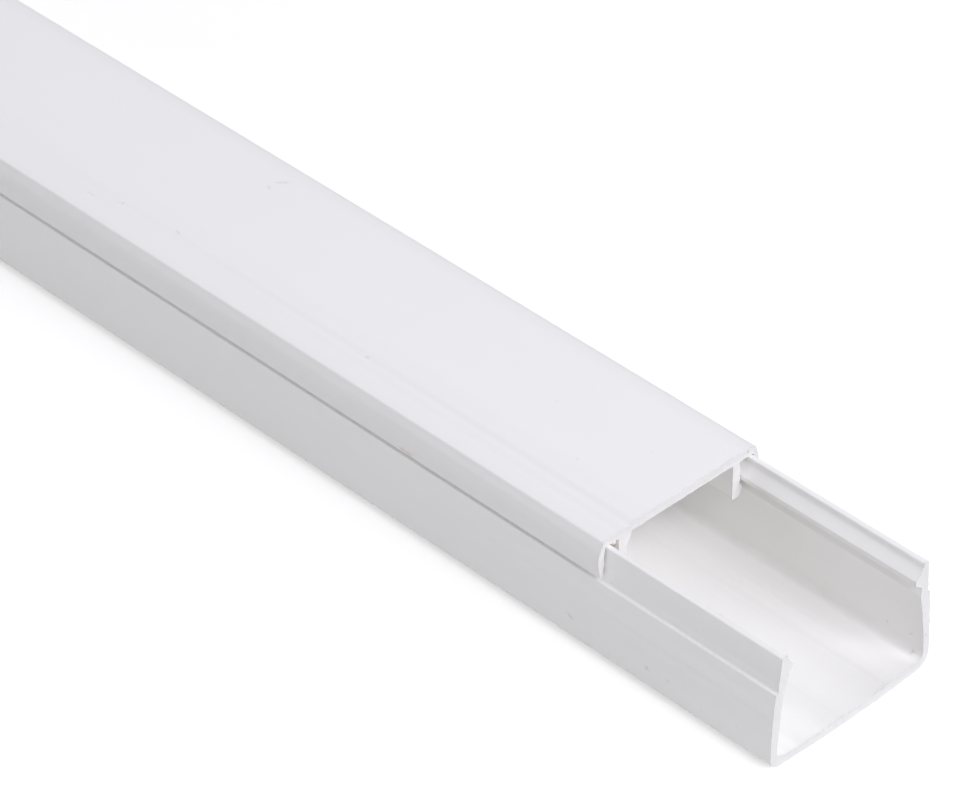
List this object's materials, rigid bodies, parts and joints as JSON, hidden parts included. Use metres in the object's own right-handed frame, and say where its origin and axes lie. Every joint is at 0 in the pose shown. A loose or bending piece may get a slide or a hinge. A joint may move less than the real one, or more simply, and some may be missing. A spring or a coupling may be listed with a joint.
{
  "type": "cord cover raceway",
  "caption": "Surface-mount cable raceway: a flat-backed U-shaped channel with hooked walls and a clip-on cover that slides along it.",
  "frame": {"origin": "on the back face, under the middle of the box round both pieces as they lie, with the cover set back", "axes": "+X along the stock, towards the end where the channel shows past its cover; +Z off the back face, towards the cover; -Y is the side that the picture shows"},
  "size_m": [0.4256, 0.025, 0.0165],
  "materials": {
    "channel_pvc": "satin",
    "cover_pvc": "satin"
  },
  "bodies": {
    "channel": {"base_channel": "channel_pvc"},
    "cover": {"snap_cover": "cover_pvc"}
  },
  "joints": [
    {"name": "cover_slide", "type": "slide", "parent": "channel", "child": "cover", "axis": [1, 0, 0], "range_m": [-0.37, 0.0256]}
  ]
}
